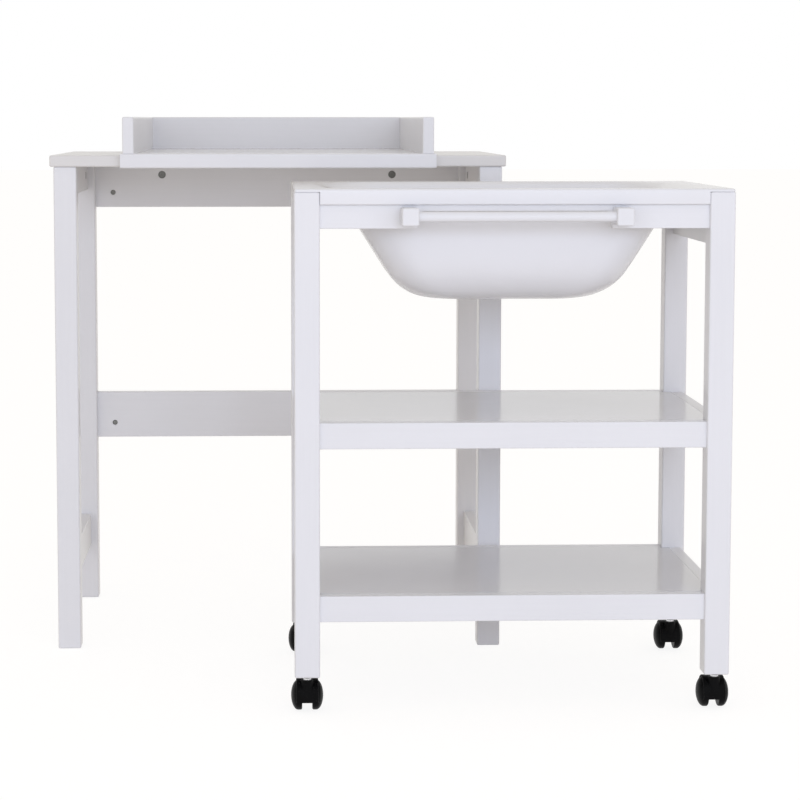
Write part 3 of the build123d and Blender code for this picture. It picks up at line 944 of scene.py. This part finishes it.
pure_white = (1.0, 1.0, 1.0, 1.0)
floor_half = 40.0
floor_drop = 0.0005
floor_colour = (0.92, 0.88, 0.83, 1.0)
floor_glow = 1.1
floor_glow_share = 0.8
sky_colour = (1.0, 0.94, 0.87, 1.0)
lamp_colour = (0.69, 0.78, 1.0)
key_place = Vector((0.75, -6.9, 2.1))
key_target = Vector((0.0, -0.1, -0.8))
front_place = Vector((0.3, -5.6, 1.5))
front_target = Vector((0.0, 0.0, 0.5))
front_size = (9.0, 2.4)
front_spread = math.radians(180)
camera_lens = 102.49
camera_sensor = 36.0
camera_shift = (0.07, -0.10)
camera_place = (-0.1910, -4.2936, 0.9876)
camera_dip_degrees = 5.059
camera_turn_degrees = -1.977


def seen_directly(graph):
    """1 for rays that reach a surface from the eye, a mirror or glass, and 0 for all others."""
    rays = graph.add("ShaderNodeLightPath", None, None, "Is Camera Ray")
    outputs = rays.socket.node.outputs
    mirrored = Signal(graph, outputs["Is Glossy Ray"])
    refracted = Signal(graph, outputs["Is Transmission Ray"])
    seen = rays + mirrored + refracted
    return graph.add("ShaderNodeMath", {"operation": "MINIMUM"}, {0: seen, 1: 1.0})


def white_floor():
    """Floor that glows nearly white to the eye and lights the part as a matt floor."""
    corners = ((-1, -1), (1, -1), (1, 1), (-1, 1))
    points = [(x * floor_half, y * floor_half, 0) for x, y in corners]
    mesh = bpy.data.meshes.new("studio_floor")
    mesh.from_pydata(points, [], [(0, 1, 2, 3)])
    floor = bpy.data.objects.new("studio_floor", mesh)
    floor.location.z = -floor_drop
    bpy.context.scene.collection.objects.link(floor)
    look = Look("studio_floor_white")
    matt = look.add("ShaderNodeBsdfDiffuse", None, {"Color": floor_colour})
    glow = look.add("ShaderNodeEmission", None, {"Color": pure_white, "Strength": floor_glow})
    mixed = {0: seen_directly(look) * floor_glow_share, 1: matt, 2: glow}
    coat(mesh, look.finish(look.add("ShaderNodeMixShader", None, mixed)))


def even_sky(settings):
    """World that lights the part from all round and shows as plain white."""
    world = bpy.data.worlds.new("studio_sky")
    world.use_nodes = True
    bpy.context.scene.world = world
    sky = Graph(world.node_tree)
    inputs = {"Color": sky_colour, "Strength": settings.world_strength}
    light = sky.add("ShaderNodeBackground", None, inputs)
    plain = sky.add("ShaderNodeBackground", None, {"Color": pure_white, "Strength": 1.0})
    mixed = {0: seen_directly(sky), 1: light, 2: plain}
    surface = sky.add("ShaderNodeMixShader", None, mixed)
    sky.add("ShaderNodeOutputWorld", None, {"Surface": surface}, None)


def soft_lamp(name, power, place, target, size, spread):
    """Rectangular lamp that faces a target and leaves no glare on gloss."""
    data = bpy.data.lights.new(name, "AREA")
    data.shape = "RECTANGLE"
    data.energy = power
    data.size, data.size_y = size
    data.spread = spread
    data.color = lamp_colour
    lamp = bpy.data.objects.new(name, data)
    lamp.location = place
    lamp.rotation_euler = (target - place).to_track_quat("-Z", "Y").to_euler()
    lamp.visible_glossy = False
    bpy.context.scene.collection.objects.link(lamp)


def photo_camera():
    """Camera that was fitted to the photograph."""
    data = bpy.data.cameras.new("photo_camera")
    data.lens = camera_lens
    data.sensor_width = camera_sensor
    data.shift_x, data.shift_y = camera_shift
    camera = bpy.data.objects.new("photo_camera", data)
    camera.location = camera_place
    tilt = math.radians(90 - camera_dip_degrees)
    camera.rotation_euler = (tilt, 0, math.radians(camera_turn_degrees))
    bpy.context.scene.collection.objects.link(camera)
    bpy.context.scene.camera = camera


class NURSERY_OT_stage(bpy.types.Operator):
    """Build the white floor, the lamps, the sky and the camera"""

    bl_idname = "nursery.stage"
    bl_label = "Stage"

    def execute(self, context):
        settings = context.scene.nursery
        context.scene.view_settings.view_transform = "Standard"
        white_floor()
        even_sky(settings)
        key_size = (settings.key_size, settings.key_size)
        soft_lamp(
            "key_light", settings.key_power, key_place, key_target, key_size, settings.key_spread
        )
        soft_lamp(
            "front_light", settings.front_power, front_place, front_target, front_size, front_spread
        )
        photo_camera()
        return {"FINISHED"}


class NURSERY_PT_panel(bpy.types.Panel):
    """Buttons for the changing table's pieces"""

    bl_idname = "NURSERY_PT_panel"
    bl_label = "Changing table"
    bl_space_type = "VIEW_3D"
    bl_region_type = "UI"
    bl_category = "Nursery"

    def draw(self, context):
        for name in NurserySettings.__annotations__:
            self.layout.prop(context.scene.nursery, name)
        for operator in operators:
            self.layout.operator(operator.bl_idname)


operators = (
    NURSERY_OT_table,
    NURSERY_OT_tray,
    NURSERY_OT_trolley,
    NURSERY_OT_bath,
    NURSERY_OT_castors,
    NURSERY_OT_fasteners,
    NURSERY_OT_stage,
)


def register():
    """Register the settings, the operators and the panel."""
    bpy.utils.register_class(NurserySettings)
    for operator in operators:
        bpy.utils.register_class(operator)
    bpy.utils.register_class(NURSERY_PT_panel)
    bpy.types.Scene.nursery = bpy.props.PointerProperty(type=NurserySettings)


def unregister():
    """Undo register."""
    del bpy.types.Scene.nursery
    bpy.utils.unregister_class(NURSERY_PT_panel)
    for operator in reversed(operators):
        bpy.utils.unregister_class(operator)
    bpy.utils.unregister_class(NurserySettings)


def main():
    """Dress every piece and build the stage."""
    register()
    bpy.ops.nursery.table()
    bpy.ops.nursery.tray()
    bpy.ops.nursery.trolley()
    bpy.ops.nursery.bath()
    bpy.ops.nursery.castors()
    bpy.ops.nursery.fasteners()
    bpy.ops.nursery.stage()


if __name__ == "__main__":
    main()
